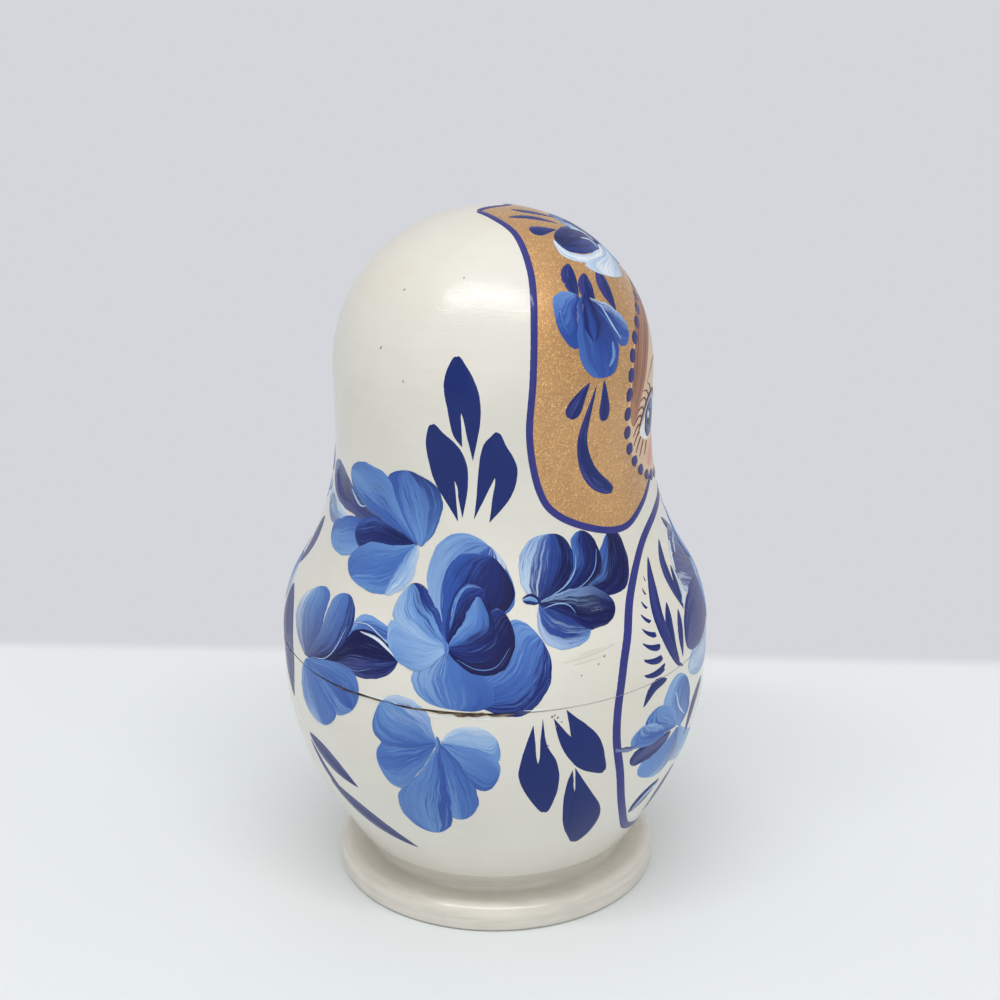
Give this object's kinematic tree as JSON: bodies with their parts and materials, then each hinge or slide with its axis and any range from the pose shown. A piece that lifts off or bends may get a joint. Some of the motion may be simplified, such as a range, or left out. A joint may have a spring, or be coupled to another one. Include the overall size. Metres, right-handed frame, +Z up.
{
  "type": "nesting doll",
  "caption": "Round-bodied turned wooden nesting doll on a disc foot, opening at a belly seam, with smaller dolls inside one another.",
  "frame": {"origin": "on the floor, under the centre of the foot", "axes": "+Z up along the turning axis, the face looks along -Y, +X on the doll's left"},
  "size_m": [0.0922, 0.0922, 0.15],
  "materials": {
    "lacquered_wood": "gloss",
    "bare_wood": "matte",
    "blue_paint": "gloss",
    "gold_paint": "satin"
  },
  "bodies": {
    "outer_lower": {"outer_lower_half": "lacquered_wood"},
    "outer_upper": {"outer_upper_half": "lacquered_wood"},
    "second_lower": {"second_lower_half": "lacquered_wood"},
    "second_upper": {"second_upper_half": "lacquered_wood"},
    "third_lower": {"third_lower_half": "lacquered_wood"},
    "third_upper": {"third_upper_half": "lacquered_wood"},
    "fourth_lower": {"fourth_lower_half": "lacquered_wood"},
    "fourth_upper": {"fourth_upper_half": "lacquered_wood"},
    "fifth_lower": {"fifth_lower_half": "lacquered_wood"},
    "fifth_upper": {"fifth_upper_half": "lacquered_wood"},
    "sixth_lower": {"sixth_lower_half": "lacquered_wood"},
    "sixth_upper": {"sixth_upper_half": "lacquered_wood"},
    "seventh_solid": {"seventh_doll": "lacquered_wood"}
  },
  "joints": [
    {"name": "outer_upper_lift", "type": "slide", "parent": "outer_lower", "child": "outer_upper", "axis": [0, 0, 1], "range_m": [0, 0.568]},
    {"name": "second_lower_lift", "type": "slide", "parent": "outer_lower", "child": "second_lower", "axis": [0, 0, 1], "range_m": [0, 0.05526]},
    {"name": "second_upper_lift", "type": "slide", "parent": "second_lower", "child": "second_upper", "axis": [0, 0, 1], "range_m": [0, 0.42787]},
    {"name": "third_lower_lift", "type": "slide", "parent": "second_lower", "child": "third_lower", "axis": [0, 0, 1], "range_m": [0, 0.04736]},
    {"name": "third_upper_lift", "type": "slide", "parent": "third_lower", "child": "third_upper", "axis": [0, 0, 1], "range_m": [0, 0.30649]},
    {"name": "fourth_lower_lift", "type": "slide", "parent": "third_lower", "child": "fourth_lower", "axis": [0, 0, 1], "range_m": [0, 0.04072]},
    {"name": "fourth_upper_lift", "type": "slide", "parent": "fourth_lower", "child": "fourth_upper", "axis": [0, 0, 1], "range_m": [0, 0.203]},
    {"name": "fifth_lower_lift", "type": "slide", "parent": "fourth_lower", "child": "fifth_lower", "axis": [0, 0, 1], "range_m": [0, 0.03407]},
    {"name": "fifth_upper_lift", "type": "slide", "parent": "fifth_lower", "child": "fifth_upper", "axis": [0, 0, 1], "range_m": [0, 0.1174]},
    {"name": "sixth_lower_lift", "type": "slide", "parent": "fifth_lower", "child": "sixth_lower", "axis": [0, 0, 1], "range_m": [0, 0.02743]},
    {"name": "sixth_upper_lift", "type": "slide", "parent": "sixth_lower", "child": "sixth_upper", "axis": [0, 0, 1], "range_m": [0, 0.04975]},
    {"name": "seventh_solid_lift", "type": "slide", "parent": "sixth_lower", "child": "seventh_solid", "axis": [0, 0, 1], "range_m": [0, 0.02078]}
  ],
  "couplings": [
    {"joint": "second_lower_lift", "follows": "outer_upper_lift", "ratio": 0.0972},
    {"joint": "second_upper_lift", "follows": "outer_upper_lift", "ratio": 0.7532},
    {"joint": "third_lower_lift", "follows": "outer_upper_lift", "ratio": 0.0833},
    {"joint": "third_upper_lift", "follows": "outer_upper_lift", "ratio": 0.5395},
    {"joint": "fourth_lower_lift", "follows": "outer_upper_lift", "ratio": 0.0716},
    {"joint": "fourth_upper_lift", "follows": "outer_upper_lift", "ratio": 0.3573},
    {"joint": "fifth_lower_lift", "follows": "outer_upper_lift", "ratio": 0.0599},
    {"joint": "fifth_upper_lift", "follows": "outer_upper_lift", "ratio": 0.2066},
    {"joint": "sixth_lower_lift", "follows": "outer_upper_lift", "ratio": 0.0482},
    {"joint": "sixth_upper_lift", "follows": "outer_upper_lift", "ratio": 0.0875},
    {"joint": "seventh_solid_lift", "follows": "outer_upper_lift", "ratio": 0.0365}
  ]
}
